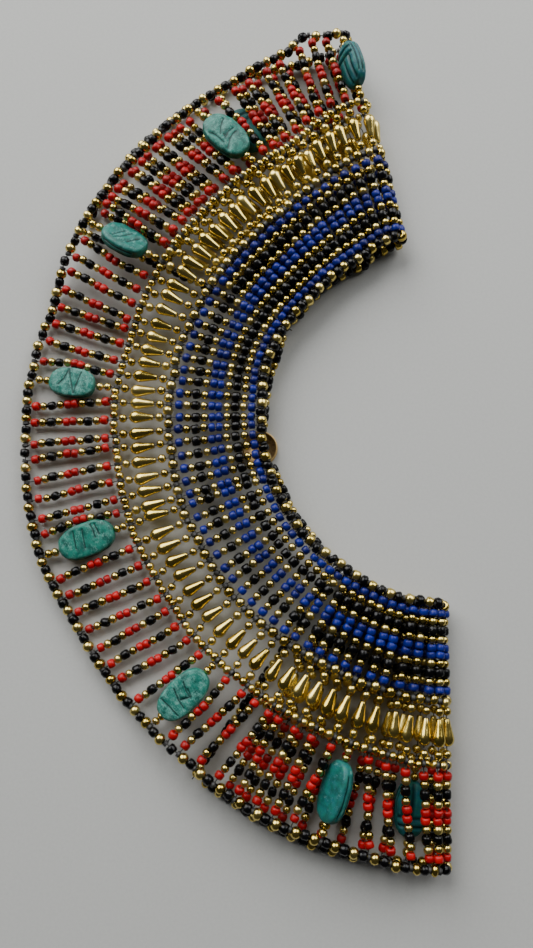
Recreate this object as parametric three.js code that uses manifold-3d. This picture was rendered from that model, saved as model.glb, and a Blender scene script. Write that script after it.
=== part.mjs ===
// A broad beaded collar, laid down folded: its front lies on top, and both its back ends are turned under,
// so that the clasp lies below the middle of the neck edge.
// Millimetres and degrees, +Z up. Angles run round the collar's own centre, from -X towards +Y.
import * as THREE from "three";
import { mergeVertices } from "three/addons/utils/BufferGeometryUtils.js";
import Module from "manifold-3d";

// Beads and threads, and the room between them
const rimBead = 4;
const upperBead = 3.2;
const lowerBead = 3.8;
const neckBead = 3.8;
const strandBead = 3.2;
const cordBead = 3.1;
const thread = 0.9;
const seedLength = 3; // one seed bead on a strand, with its play
const gap = 0.4; // left between pieces that touch
const held = 4; // how far to each side a string takes its beads with it
const stepInBeads = 2.8; // length of a string's steps, in bead widths
const closerInFolds = 3; // steps are so many times shorter round the two turns
const ruffled = 12; // degrees before the top fold where the edges run unevenly and steps are as short
const beadSides = 9;
const tubeSides = 8;

// Teardrop beads, wide end outwards
const teardropLength = 9.2;
const teardropWidth = 4.8;
const teardropStem = 1.3;
const teardropEnd = 3; // the flat of the wide end
const teardropBelly = 2.4; // from the wide end to the widest point
const teardropPlay = 1; // free thread at each end
const teardropSeat = lowerBead / 2 + seedLength + teardropPlay;

// Scarab beads
const scarabLength = 19.5;
const scarabWidth = 12.6;
const scarabThickness = 6;
const scarabBevel = 1.7;
const scarabSides = 12;
const threadHole = 2;
const holeSides = 8;

// The four strings that run round the collar, each as far out as the beads on the strands put it
const seedsInInnerNet = 10;
const seedsBesideScarab = 4;
const neckRadius = 70.5;
const lowerRadius = neckRadius + neckBead / 2 + seedsInInnerNet * seedLength + lowerBead / 2;
const teardropOuterEnd = lowerRadius + teardropSeat + teardropLength;
const upperRadius = teardropOuterEnd + teardropPlay + seedLength + upperBead / 2;
const outerStrand = scarabLength + seedsBesideScarab * seedLength;
const rimRadius = upperRadius + upperBead / 2 + outerStrand + rimBead / 2;
const scarabRadius = upperRadius + upperBead / 2 + outerStrand / 2;

// Clasp: a round dish with a rolled edge, and the cords that lead to it just inside the neck string
const claspDiameter = 13.6;
const claspThickness = 2;
const claspFloor = 1.1;
const claspEdge = 0.9;
const claspSides = 16;
const claspAngle = -8.4;
const claspShift = 0.9; // outwards from the neck string
const cordShift = 1.7; // inwards from the neck string
const claspRadius = neckRadius + claspShift;
const cordRadius = neckRadius - cordShift;
const cordHeight = 1.7;
const cordSteps = 11;
const cordRun = 0.25; // share of a neck cord that leads down from the panel's corner

// How the collar is folded and how high its layers lie
const foldTop = [76.2, 76.3, 76.3, 75.5]; // at the rim, the upper, the lower and the neck string
const foldBottom = [-86.6, -86.3, -85.8, -84.1];
const endTop = 127.6;
const endBottom = -123;
const stack = 11.5; // height of the upper layer where it lies on the lower one
const underRim = 2.1;
const underUpper = 4.1;
const underLower = 3.4;
const underNeck = 2.1;

// The scarabs' places round the collar, the degrees each leans by towards its outer end, how far it is
// rolled about its thread, and its length and width as shares of the common ones
const scarabs = [
  { at: 99.6, lean: 0, roll: 0, long: 1, wide: 1 },
  { at: 76.6, lean: 0, roll: 100, long: 0.97, wide: 0.95 },
  { at: 53.3, lean: -1.8, roll: 4, long: 1.07, wide: 1.05 },
  { at: 29.4, lean: 0, roll: 28, long: 0.95, wide: 0.98 },
  { at: 5.9, lean: 0, roll: 3, long: 0.91, wide: 0.92 },
  { at: -18.6, lean: -0.3, roll: 0, long: 1.1, wide: 1.02 },
  { at: -45.9, lean: 0.5, roll: 0, long: 1.11, wide: 0.98 },
  { at: -71.7, lean: 0, roll: 58, long: 1.09, wide: 1 },
  { at: -94.6, lean: 0, roll: 0, long: 1, wide: 0.9 },
];
const strandsBetween = 8;
const pitch = 2.69; // degrees between strands past the last scarab
// Degrees by which each of the strands after a scarab stands off its even place, at the rim, at the upper
// string and from the teardrop beads inwards
const strayOuter = [
  [0, 0, 0, 0, 0.2, 0.6, 1.2, 1.8],
  [-0.2, 0.2, 0.7, -0.3, 0, -0.6, -0.7, -0.9],
  [-1.2, -0.9, -0.9, -1.3, -1.2, -1.9, -0.9, 0.4],
  [0.9, 0.6, 0.9, 0.8, 0.6, 0.5, 0.4, -0.5],
  [-0.7, -0.5, -1.0, -0.6, -1.0, -1.0, -1.2, -1.0],
  [-0.5, -0.1, 0.3, 0.6, 0.4, 0.8, 1.3, 0.6],
  [0.6, 1.3, 1.4, 1.1, 0.7, 0.9, 1.1, 1.3],
  [-3.4, -3.7, -3.9, -3.8, -2.6, -1.8, -0.9, 0],
];
const strayUpper = [
  [0, 0, 0, 0, 0.1, 0.4, 0.8, 1.3],
  [0, 0, 0, 0, 0.2, 0.4, 0.7, 1.0],
  [0, 0.2, -0.6, -0.8, -0.6, 0.4, 0.6, 0.4],
  [-0.7, -0.8, -0.6, -0.8, 0.3, 0.1, -0.6, -0.4],
  [0.1, -0.3, -0.6, 0.4, 0, -0.2, -0.5, -0.2],
  [-0.6, -0.9, -0.9, -1.3, -0.6, -0.5, -0.5, -0.4],
  [-0.4, -0.9, -0.8, -0.5, 0.6, 0.5, 0.4, -0.1],
  [-0.6, -1.1, -1.6, -1.9, -1.6, -1.0, -0.5, 0],
];
const strayInner = [
  [0, 0, 0, 0, 0, 0, 0, 0],
  [0, 0, 0, 0, 0, 0, 0, 0],
  [0, 0, 0, 0, 0, 0, 0, 0],
  [0, 0, 0, 0, 0, 0, 0, 0],
  [0, 0, 0, -0.1, -0.3, -0.5, -0.6, -0.5],
  [0, 0, 0, 0, 0, 0, 0, 0],
  [0, 0, 0, 0, 0, 0, 0, 0],
  [-0.3, -1.2, -1.5, -1.8, -1.7, -1.2, -0.6, 0],
];

// Sections along the collar: each string's radius as a share of its own, and the heights of the rim,
// the upper string and the neck as shares of the stack
const sections = [
  { at: 131, rim: 1.01, upper: 1, lower: 1, neck: 1, rimUp: 0.9, upperUp: 1, neckUp: 0.87 },
  { at: 112, rim: 1.03, upper: 1, lower: 1, neck: 1, rimUp: 0.9, upperUp: 1, neckUp: 0.87 },
  { at: 96, rim: 1.025, upper: 1, lower: 1, neck: 1, rimUp: 0.9, upperUp: 1, neckUp: 0.87 },
  { at: 86, rim: 1, upper: 1.03, lower: 1.02, neck: 1.045, rimUp: 0.9, upperUp: 1, neckUp: 0.87 },
  { at: 75, rim: 1.019, upper: 1.05, lower: 1.054, neck: 1.045, rimUp: 0.9, upperUp: 1, neckUp: 0.87 },
  { at: 71.5, rim: 1.036, upper: 1.041, lower: 1.045, neck: 1.039, rimUp: 0.9, upperUp: 1, neckUp: 0.87 },
  { at: 67.5, rim: 1.008, upper: 1.019, lower: 1.031, neck: 1.022, rimUp: 0.9, upperUp: 1, neckUp: 0.86 },
  { at: 64, rim: 1.004, upper: 0.999, lower: 1.013, neck: 1.008, rimUp: 0.9, upperUp: 1, neckUp: 0.85 },
  { at: 60, rim: 0.995, upper: 0.988, lower: 1.002, neck: 1, rimUp: 0.9, upperUp: 1, neckUp: 0.85 },
  { at: 52, rim: 0.996, upper: 0.987, lower: 0.982, neck: 0.993, rimUp: 0.9, upperUp: 1, neckUp: 0.85 },
  { at: 45, rim: 0.997, upper: 0.986, lower: 0.982, neck: 0.987, rimUp: 0.9, upperUp: 1, neckUp: 0.85 },
  { at: 31, rim: 0.995, upper: 0.99, lower: 0.99, neck: 1, rimUp: 0.95, upperUp: 1, neckUp: 0.82 },
  { at: 25, rim: 1.001, upper: 1, lower: 1, neck: 1.01, rimUp: 0.6, upperUp: 0.72, neckUp: 0.8 },
  { at: 16, rim: 0.993, upper: 1.004, lower: 1.01, neck: 1.012, rimUp: 0.22, upperUp: 0.31, neckUp: 0.78 },
  { at: 5, rim: 1.004, upper: 1.014, lower: 1.012, neck: 0.998, rimUp: 0.22, upperUp: 0.3, neckUp: 0.78 },
  { at: -19, rim: 1.008, upper: 1.004, lower: 1.006, neck: 0.992, rimUp: 0.22, upperUp: 0.3, neckUp: 0.78 },
  { at: -31, rim: 0.99, upper: 0.995, lower: 0.998, neck: 0.995, rimUp: 0.22, upperUp: 0.3, neckUp: 0.78 },
  { at: -41, rim: 0.988, upper: 0.995, lower: 1, neck: 0.99, rimUp: 0.23, upperUp: 0.32, neckUp: 0.78 },
  { at: -50, rim: 0.982, upper: 0.986, lower: 0.988, neck: 0.982, rimUp: 0.6, upperUp: 0.72, neckUp: 0.8 },
  { at: -63, rim: 0.987, upper: 0.983, lower: 0.978, neck: 0.98, rimUp: 0.85, upperUp: 0.95, neckUp: 0.85 },
  { at: -74, rim: 0.985, upper: 0.985, lower: 0.982, neck: 0.985, rimUp: 0.9, upperUp: 1, neckUp: 0.87 },
  { at: -85, rim: 0.997, upper: 0.998, lower: 0.988, neck: 0.985, rimUp: 0.9, upperUp: 1, neckUp: 0.87 },
  { at: -105, rim: 1.01, upper: 1, lower: 1, neck: 1, rimUp: 0.9, upperUp: 1, neckUp: 0.87 },
  { at: -125, rim: 1, upper: 1, lower: 1, neck: 1, rimUp: 0.9, upperUp: 1, neckUp: 0.87 },
];

const rad = THREE.MathUtils.degToRad;
const deg = THREE.MathUtils.radToDeg;
const wasm = await Module();
wasm.setup();

// One column of the sections at an angle, eased from each row to the next
function readSection(column, at) {
  const last = sections.length - 1;
  const next = sections.findIndex((row) => row.at <= at);
  if (next === 0) return sections[0][column];
  if (next < 0) return sections[last][column];
  const [a, b] = [sections[next - 1], sections[next]];
  const share = (at - a.at) / (b.at - a.at);
  return a[column] + (b[column] - a[column]) * share * share * (3 - 2 * share);
}

// A value known at the rings, read at a radius between them
function between(radius, rings, values) {
  let i = 0;
  while (i < rings.length - 2 && radius < rings[i + 1]) i += 1;
  const share = (rings[i] - radius) / (rings[i] - rings[i + 1]);
  return values[i] + (values[i + 1] - values[i]) * share;
}

const rings = [rimRadius, upperRadius, lowerRadius, neckRadius];

// A radius as it lies: each string is shifted whole, with the beads close to it on both sides
function realRadius(at, radius) {
  const bounds = rings.flatMap((ring) => [ring + held, ring - held]);
  const shifts = ["rim", "upper", "lower", "neck"].flatMap((column, i) => {
    const shift = rings[i] * (readSection(column, at) - 1);
    return [shift, shift];
  });
  return radius + between(radius, bounds, shifts);
}

function topHeight(at, radius) {
  const lifts = ["rimUp", "upperUp", "neckUp"].map((column) => readSection(column, at));
  return stack * between(radius, [rimRadius, upperRadius, neckRadius], lifts);
}

function underHeight(radius) {
  return between(radius, rings, [underRim, underUpper, underLower, underNeck]);
}

function polar(angle, radius, height) {
  return new THREE.Vector3(-radius * Math.cos(rad(angle)), radius * Math.sin(rad(angle)), height);
}

// A point of the folded collar, and the way its front faces there. An angle past a fold line goes round the
// turn and back under the front.
function spot(at, radius) {
  const sense = at > 0 ? 1 : -1;
  const fold = between(radius, rings, at > 0 ? foldTop : foldBottom);
  const r = realRadius(at, radius);
  const past = r * rad(sense * (at - fold));
  if (past <= 0) {
    return { point: polar(at, r, topHeight(at, radius)), front: new THREE.Vector3(0, 0, 1) };
  }
  const low = underHeight(radius);
  const bend = (topHeight(fold, radius) - low) / 2;
  if (past >= Math.PI * bend) {
    const angle = fold - sense * deg((past - Math.PI * bend) / r);
    return { point: polar(angle, r, low), front: new THREE.Vector3(0, 0, -1) };
  }
  const turn = past / bend;
  const angle = fold + sense * deg((bend * Math.sin(turn)) / r);
  const outward = new THREE.Vector3(Math.sin(rad(angle)), Math.cos(rad(angle)), 0);
  return {
    point: polar(angle, r, low + bend * (1 + Math.cos(turn))),
    front: outward.multiplyScalar(sense * Math.sin(turn)).setZ(Math.cos(turn)),
  };
}

function place(at, radius, off = 0) {
  const { point, front } = spot(at, radius);
  return point.addScaledVector(front, off);
}

// From a scarab's thread to the strand beside its widest point
function besideScarab({ roll, wide }) {
  const [flat, tipped] = [Math.abs(Math.cos(rad(roll))), Math.abs(Math.sin(rad(roll)))];
  const [halfWidth, halfDepth] = [(scarabWidth * wide) / 2, scarabThickness / 2];
  const reach = Math.max(
    halfWidth * flat + (halfDepth - scarabBevel) * tipped,
    (halfWidth - scarabBevel) * flat + halfDepth * tipped,
  );
  return deg((reach + gap + strandBead / 2) / scarabRadius);
}

// The strands from the first end to the last: outer is where a strand meets the rim, middle where it passes
// the scarabs, upper where it crosses the upper string, and inner where it meets the other strings.
function listStrands() {
  const found = [];
  const clear = deg((teardropWidth / 2 + gap) / lowerRadius);
  const pastLast = (scarab, sense, end) => {
    const start = scarab.at + sense * besideScarab(scarab);
    const count = Math.floor((sense * (end - start) - clear) / pitch);
    for (let i = 0; i <= count; i += 1) {
      const at = start + sense * i * pitch;
      found.push({ outer: at, middle: at, upper: at, inner: at });
    }
  };
  pastLast(scarabs[0], 1, endTop);
  found.reverse();
  scarabs.forEach((scarab, n) => {
    const { at, lean } = scarab;
    found.push({ outer: at + lean / 2, middle: at, upper: at - lean / 2, inner: at, scarab });
    if (n === scarabs.length - 1) return;
    const after = scarabs[n + 1];
    const start = at - besideScarab(scarab);
    const stop = after.at + besideScarab(after);
    for (let i = 0; i < strandsBetween; i += 1) {
      const even = at + ((after.at - at) * (i + 1)) / (strandsBetween + 1);
      const outer = start + ((stop - start) * i) / (strandsBetween - 1) + strayOuter[n][i];
      const upper = even + strayUpper[n][i];
      const middle = THREE.MathUtils.clamp((outer + upper) / 2, stop, start);
      found.push({ outer, middle, upper, inner: even + strayInner[n][i] });
    }
  });
  pastLast(scarabs.at(-1), -1, endBottom);
  return found;
}
const strands = listStrands();
const strandOuterEnd = rimRadius - rimBead / 2 - gap;
const bends = [
  strandOuterEnd,
  scarabRadius,
  upperRadius + upperBead / 2,
  upperRadius - upperBead / 2,
  teardropOuterEnd + 2 * gap,
];

function strandAngle({ outer, middle, upper, inner }, radius) {
  return between(radius, bends, [outer, middle, upper, upper, inner]);
}
const scarabStrands = strands.filter((strand) => strand.scarab);

// manifold-3d solids from three.js geometries, and back
function solid(geometry) {
  const bare = geometry.clone();
  bare.deleteAttribute("normal");
  bare.deleteAttribute("uv");
  const merged = mergeVertices(bare, 1e-3);
  const made = new wasm.Manifold(
    new wasm.Mesh({
      numProp: 3,
      vertProperties: merged.attributes.position.array,
      triVerts: new Uint32Array(merged.index.array),
    }),
  );
  if (made.volume() > 0) return made;
  merged.index.array.reverse();
  return solid(merged);
}

function geometryOf(made) {
  const mesh = made.getMesh();
  const geometry = new THREE.BufferGeometry();
  geometry.setAttribute("position", new THREE.BufferAttribute(mesh.vertProperties, 3));
  geometry.setIndex(new THREE.BufferAttribute(mesh.triVerts, 1));
  geometry.computeVertexNormals();
  return geometry;
}

// A run of straight stretches, with one step of a tube to each
class Route extends THREE.Curve {
  constructor(stops) {
    super();
    this.stops = stops;
  }
  getPoint(t, target = new THREE.Vector3()) {
    const along = t * (this.stops.length - 1);
    const i = Math.min(Math.floor(along), this.stops.length - 2);
    return target.lerpVectors(this.stops[i], this.stops[i + 1], along - i);
  }
  getUtoTmapping(u) {
    return u;
  }
}

function tube(stops, diameter) {
  const section = new THREE.Shape(
    Array.from({ length: tubeSides }, (_, i) => {
      const angle = (2 * Math.PI * (i + 0.5)) / tubeSides;
      return new THREE.Vector2(Math.cos(angle), Math.sin(angle)).multiplyScalar(diameter / 2);
    }),
  );
  return solid(
    new THREE.ExtrudeGeometry(section, {
      steps: stops.length - 1,
      extrudePath: new Route(stops),
      bevelEnabled: false,
    }),
  );
}

// Angles for a string's steps: even on the flat, and closer together round the two turns
function stepsAlong(radius, length) {
  const turn = deg((Math.PI * stack) / 2 / radius);
  const [top, bottom] = [between(radius, rings, foldTop), between(radius, rings, foldBottom)];
  const marks = [endTop, top + turn, top - ruffled, bottom, bottom - turn, endBottom];
  const angles = [endTop];
  marks.slice(1).forEach((mark, i) => {
    const step = i % 2 === 0 ? length : length / closerInFolds;
    const count = Math.ceil((radius * rad(marks[i] - mark)) / step);
    for (let n = 1; n <= count; n += 1) angles.push(marks[i] + ((mark - marks[i]) * n) / count);
  });
  return angles;
}

function stringRound(radius, diameter) {
  return tube(
    stepsAlong(radius, diameter * stepInBeads).map((at) => place(at, radius)),
    diameter,
  );
}

// A solid sheet from a grid of cells. Column lines run across the collar and row lines along it;
// point(column, row, side) gives a corner, and filled(column, row) says which cells are solid.
function sheet(columns, rows, filled, point) {
  const corners = [];
  const index = (column, row, side) => (column * rows + row) * 2 + side;
  for (let column = 0; column < columns; column += 1) {
    for (let row = 0; row < rows; row += 1) {
      for (const side of [0, 1]) corners.push(...point(column, row, side).toArray());
    }
  }
  const faces = [];
  const quad = (a, b, c, d) => faces.push(a, b, c, a, c, d);
  const has = (c, r) => c >= 0 && r >= 0 && c < columns - 1 && r < rows - 1 && filled(c, r);
  for (let c = 0; c < columns - 1; c += 1) {
    for (let r = 0; r < rows - 1; r += 1) {
      if (!has(c, r)) continue;
      quad(index(c, r, 1), index(c, r + 1, 1), index(c + 1, r + 1, 1), index(c + 1, r, 1));
      quad(index(c, r, 0), index(c + 1, r, 0), index(c + 1, r + 1, 0), index(c, r + 1, 0));
      if (!has(c - 1, r)) quad(index(c, r, 0), index(c, r + 1, 0), index(c, r + 1, 1), index(c, r, 1));
      if (!has(c + 1, r)) {
        quad(index(c + 1, r, 0), index(c + 1, r, 1), index(c + 1, r + 1, 1), index(c + 1, r + 1, 0));
      }
      if (!has(c, r - 1)) quad(index(c, r, 0), index(c, r, 1), index(c + 1, r, 1), index(c + 1, r, 0));
      if (!has(c, r + 1)) {
        quad(index(c, r + 1, 0), index(c + 1, r + 1, 0), index(c + 1, r + 1, 1), index(c, r + 1, 1));
      }
    }
  }
  const geometry = new THREE.BufferGeometry();
  geometry.setAttribute("position", new THREE.Float32BufferAttribute(corners, 3));
  geometry.setIndex(faces);
  return solid(geometry);
}

// The outer net: strands from the upper string out to the rim, and the short bead inside it on each strand.
// A scarab's strand is bare thread.
function makeOuterNet() {
  const upperRow = 2;
  const net = sheet(
    strands.length * 2,
    bends.length,
    (column, row) => {
      if (row === upperRow) return true;
      return column % 2 === 0 && (row > upperRow || !strands[column / 2].scarab);
    },
    (column, row, side) => {
      const radius = bends[row];
      const aside = deg(strandBead / 2 / radius) * (column % 2 === 0 ? 1 : -1);
      const at = strandAngle(strands[Math.floor(column / 2)], radius);
      return place(at + aside, radius, (side - 0.5) * upperBead);
    },
  );
  return scarabStrands.reduce((made, { outer, upper }) => {
    const ends = [place(upper, upperRadius), place(outer, strandOuterEnd)];
    return made.add(tube(ends, thread));
  }, net);
}

// Turns a shape made along +Y, face up along +Z, to lie on a line from one place of the collar towards
// another
function lieOn(geometry, from, to, roll = 0) {
  const start = place(from.at, from.radius);
  const along = place(to.at, to.radius).sub(start).normalize();
  const { front } = spot((from.at + to.at) / 2, (from.radius + to.radius) / 2);
  const side = new THREE.Vector3().crossVectors(along, front).normalize();
  const face = new THREE.Vector3().crossVectors(side, along);
  const basis = new THREE.Matrix4().makeBasis(side, along, face).setPosition(start);
  return geometry.applyMatrix4(new THREE.Matrix4().makeRotationY(rad(roll))).applyMatrix4(basis);
}

// The lower string, square in section, with a teardrop bead on each strand
function makeTeardropRow() {
  const radii = [lowerRadius + lowerBead / 2, lowerRadius - lowerBead / 2];
  const cuts = Array.from({ length: strands.length + 1 }, (_, i) => {
    if (i === 0) return endTop;
    if (i === strands.length) return endBottom;
    return (strands[i - 1].inner + strands[i].inner) / 2;
  });
  const string = sheet(
    cuts.length,
    radii.length,
    () => true,
    (column, row, side) => place(cuts[column], radii[row], (side - 0.5) * lowerBead),
  );
  const profile = [
    [0, 0],
    [teardropStem / 2, 0],
    [teardropWidth / 2, teardropSeat + teardropLength - teardropBelly],
    [teardropEnd / 2, teardropSeat + teardropLength],
    [0, teardropSeat + teardropLength],
  ].map(([x, y]) => new THREE.Vector2(x, y));
  return strands.reduce((made, { inner }) => {
    const room = place(inner, lowerRadius).distanceTo(place(inner, teardropOuterEnd));
    const fit = Math.min(1, room / (teardropSeat + teardropLength));
    const bead = new THREE.LatheGeometry(profile, beadSides).scale(1, fit, 1);
    const seat = { at: inner, radius: lowerRadius };
    return made.add(solid(lieOn(bead, seat, { at: inner, radius: teardropOuterEnd })));
  }, string);
}

// The inner net is close-set, so it is one ribbed band: a rib to each strand and a groove between
function makeInnerNet() {
  const radii = [lowerRadius - lowerBead / 2 - gap, neckRadius + neckBead / 2 + gap];
  const middle = (i) => (strands[i].inner + strands[i + 1].inner) / 2;
  const lines = strands.flatMap(({ inner }, i) =>
    i < strands.length - 1
      ? [{ at: inner, thick: strandBead }, { at: middle(i), thick: thread }]
      : [{ at: inner, thick: strandBead }],
  );
  return sheet(
    lines.length,
    radii.length,
    () => true,
    (column, row, side) => place(lines[column].at, radii[row], (side - 0.5) * lines[column].thick),
  );
}

// A scarab bead: an oval with bevelled edges, drilled along its length
function makeScarab(strand) {
  const { roll, long, wide } = strand.scarab;
  const halfWidth = (scarabWidth * wide) / 2;
  const halfLength = (scarabLength * long) / 2;
  const oval = new THREE.Shape(
    Array.from({ length: scarabSides }, (_, i) => {
      const angle = (2 * Math.PI * i) / scarabSides;
      const x = (halfWidth - scarabBevel) * Math.cos(angle);
      const y = (halfLength - scarabBevel) * Math.sin(angle);
      return new THREE.Vector2(x, y);
    }),
  );
  const body = new THREE.ExtrudeGeometry(oval, {
    depth: scarabThickness - 2 * scarabBevel,
    bevelThickness: scarabBevel,
    bevelSize: scarabBevel,
    bevelSegments: 1,
  }).translate(0, 0, scarabBevel - scarabThickness / 2);
  const depth = 2 * (halfLength + gap);
  const drill = new THREE.CylinderGeometry(threadHole / 2, threadHole / 2, depth, holeSides);
  const drilled = geometryOf(solid(body).subtract(solid(drill)));
  drilled.translate(0, halfLength, 0);
  const [from, to] = [-halfLength, halfLength].map((off) => {
    const radius = scarabRadius + off;
    return { at: strandAngle(strand, radius), radius };
  });
  return solid(lieOn(drilled, from, to, roll));
}

// The two ends of the panel are edged with a string, and a cord runs on from each to the clasp
function makeEndString(end, sense) {
  const stops = [rimRadius + rimBead / 2, upperRadius, lowerRadius, neckRadius - neckBead / 2];
  return tube(
    stops.map((radius) => place(end + sense * deg((gap + cordBead / 2) / radius), radius)),
    cordBead,
  );
}

function makeNeckCord(end, sense) {
  const corner = place(end, neckRadius);
  const from = deg(Math.atan2(corner.y, -corner.x)) - sense * deg((2 * gap + cordBead) / neckRadius);
  const to = claspAngle + sense * deg((claspDiameter / 2 + cordBead) / cordRadius);
  const stops = Array.from({ length: cordSteps + 1 }, (_, i) => {
    const share = i / cordSteps;
    const radius = neckRadius + (cordRadius - neckRadius) * Math.min(1, share / cordRun);
    return polar(from + (to - from) * share, radius, cordHeight);
  });
  const centre = polar(claspAngle, claspRadius, cordHeight);
  const reach = stops.at(-1).clone().sub(centre).setLength(claspDiameter / 2 + gap);
  stops.push(centre.add(reach));
  return tube(stops, cordBead);
}

function makeClasp() {
  const outer = claspDiameter / 2;
  const profile = [
    [0, 0],
    [outer - claspEdge / 2, 0],
    [outer, claspEdge / 2],
    [outer, claspThickness - claspEdge / 2],
    [outer - claspEdge / 2, claspThickness],
    [outer - claspEdge, claspThickness],
    [outer - claspEdge, claspFloor],
    [0, claspFloor],
  ].map(([x, y]) => new THREE.Vector2(x, y));
  const centre = polar(claspAngle, claspRadius, underRim - rimBead / 2);
  return solid(new THREE.LatheGeometry(profile, claspSides).rotateX(Math.PI / 2).translate(...centre));
}

const gold = new THREE.MeshStandardMaterial({ color: 0xd9b24a, roughness: 0.2, metalness: 1 });
const brass = new THREE.MeshStandardMaterial({ color: 0xa9783a, roughness: 0.4, metalness: 1 });
const red = new THREE.MeshStandardMaterial({ color: 0xc4141a, roughness: 0.35, metalness: 0 });
const blue = new THREE.MeshStandardMaterial({ color: 0x18288a, roughness: 0.35, metalness: 0 });
const black = new THREE.MeshStandardMaterial({ color: 0x0c0c0e, roughness: 0.25, metalness: 0 });
const faience = new THREE.MeshStandardMaterial({ color: 0x3f9c8a, roughness: 0.6, metalness: 0 });

const collar = new THREE.Group();
function addPiece(name, made, material) {
  const mesh = new THREE.Mesh(geometryOf(made), material);
  mesh.name = name;
  collar.add(mesh);
}

addPiece("rim_string", stringRound(rimRadius, rimBead), gold);
addPiece("outer_net", makeOuterNet(), red);
addPiece("teardrop_row", makeTeardropRow(), gold);
addPiece("inner_net", makeInnerNet(), blue);
addPiece("neck_string", stringRound(neckRadius, neckBead), gold);
addPiece("end_string_top", makeEndString(endTop, 1), black);
addPiece("end_string_bottom", makeEndString(endBottom, -1), black);
addPiece("neck_cord_top", makeNeckCord(endTop, 1), black);
addPiece("neck_cord_bottom", makeNeckCord(endBottom, -1), black);
addPiece("clasp", makeClasp(), brass);
scarabStrands.forEach((strand, i) => addPiece(`scarab_${i + 1}`, makeScarab(strand), faience));

// The origin is below the middle of the whole piece, on the surface it lies on
const box = new THREE.Box3().setFromObject(collar);
const middle = box.getCenter(new THREE.Vector3());
collar.position.set(-middle.x, -middle.y, -box.min.z);

export default collar;
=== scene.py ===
import math
import random

import bmesh
import bpy
from mathutils import Matrix, Vector, noise


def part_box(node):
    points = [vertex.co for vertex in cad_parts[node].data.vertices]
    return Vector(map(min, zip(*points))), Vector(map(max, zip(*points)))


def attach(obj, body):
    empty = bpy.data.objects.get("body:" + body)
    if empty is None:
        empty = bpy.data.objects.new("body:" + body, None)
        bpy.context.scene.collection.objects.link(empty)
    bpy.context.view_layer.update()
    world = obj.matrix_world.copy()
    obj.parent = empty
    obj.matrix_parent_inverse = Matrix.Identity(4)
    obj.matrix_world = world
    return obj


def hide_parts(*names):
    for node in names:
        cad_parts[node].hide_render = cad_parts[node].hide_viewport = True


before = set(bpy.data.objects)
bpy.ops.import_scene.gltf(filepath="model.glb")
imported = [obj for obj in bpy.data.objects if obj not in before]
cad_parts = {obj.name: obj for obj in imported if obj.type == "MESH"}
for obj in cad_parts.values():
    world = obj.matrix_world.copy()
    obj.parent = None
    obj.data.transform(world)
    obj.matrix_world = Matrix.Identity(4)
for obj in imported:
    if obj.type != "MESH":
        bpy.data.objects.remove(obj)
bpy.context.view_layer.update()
print("frame loaded")

mm = 0.001
dice = random.Random(11)


# Beads and strings, with the same sizes as the solids have

string = {
    "rimBead": 4.0,
    "upperBead": 3.2,
    "lowerBead": 3.8,
    "neckBead": 3.8,
    "strandBead": 3.2,
    "cordBead": 3.1,
    "seedLength": 3.0,
    "seedsInside": 10,  # on a strand between the lower and the neck string
    "seedsBesideScarab": 4,  # on a scarab's strand, half of them at each end
    "gap": 0.4,
    "held": 4.0,  # how far to each side a string takes its beads with it
}
drop = {
    "length": 9.2,
    "width": 4.8,
    "play": 1.0,  # along the strand, at each end
    "loose": 0.5,  # how far it strays, as a share of what a seed bead does
    "hole": 0.5,
    "holeRing": 0.7,  # place of a ring of points inside the hole
    "lip": 0.1,  # how far inside each end the hole begins
    # outlines from the narrow end: radius and place, then share of half the width and place
    "neck": [(0.92, 0), (1.12, 0.4), (1.42, 2.2), (1.8, 4.0), (2.16, 5.5)],
    "foot": [(1, 6.7), (0.97, 7.4), (0.84, 8.2), (0.6, 8.9), (0.42, 9.2)],
    "sides": 20,
    "flute": 0.003,
}
scarab = {
    "length": 19.5,
    "width": 12.6,
    "thickness": 6.0,
    "bevel": 1.7,
    "cuts": 26,
    "planPower": 2.5,
    "facePower": 5.5,
    "backPower": 2.6,
    "dent": 0.16,
    "dentScale": 0.35,
    "pitShare": 0.4,  # of a dent's depth
    "pitScale": 1.3,
    "flatFrom": 0.7,  # how far a normal is turned up or down where face and back begin
    "grooveDepth": 0.5,
    "grooveWidth": 0.46,
    "slotHeights": (0.9, -1.0),  # of the two grooves along each side
    "slotDepth": 0.5,
    "slotWidth": 0.5,
    "slotReach": 0.74,  # share of the length
    "slotFade": 1.2,
}
dropSeat = string["lowerBead"] / 2 + string["seedLength"] + drop["play"]
neckRadius = 70.5
innerStrand = string["seedsInside"] * string["seedLength"]
lowerRadius = neckRadius + string["neckBead"] / 2 + innerStrand + string["lowerBead"] / 2
dropInnerEnd = lowerRadius + dropSeat
dropOuterEnd = dropInnerEnd + drop["length"]
upperInside = dropOuterEnd + drop["play"] + string["seedLength"]
upperRadius = upperInside + string["upperBead"] / 2
upperOutside = upperRadius + string["upperBead"] / 2
outerStrand = scarab["length"] + string["seedsBesideScarab"] * string["seedLength"]
scarabRadius = upperOutside + outerStrand / 2
rimInside = upperOutside + outerStrand
rimRadius = rimInside + string["rimBead"] / 2
rings = [rimRadius, upperRadius, lowerRadius, neckRadius]


# How the collar lies folded: the table of sections is the one that the solids follow

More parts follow.
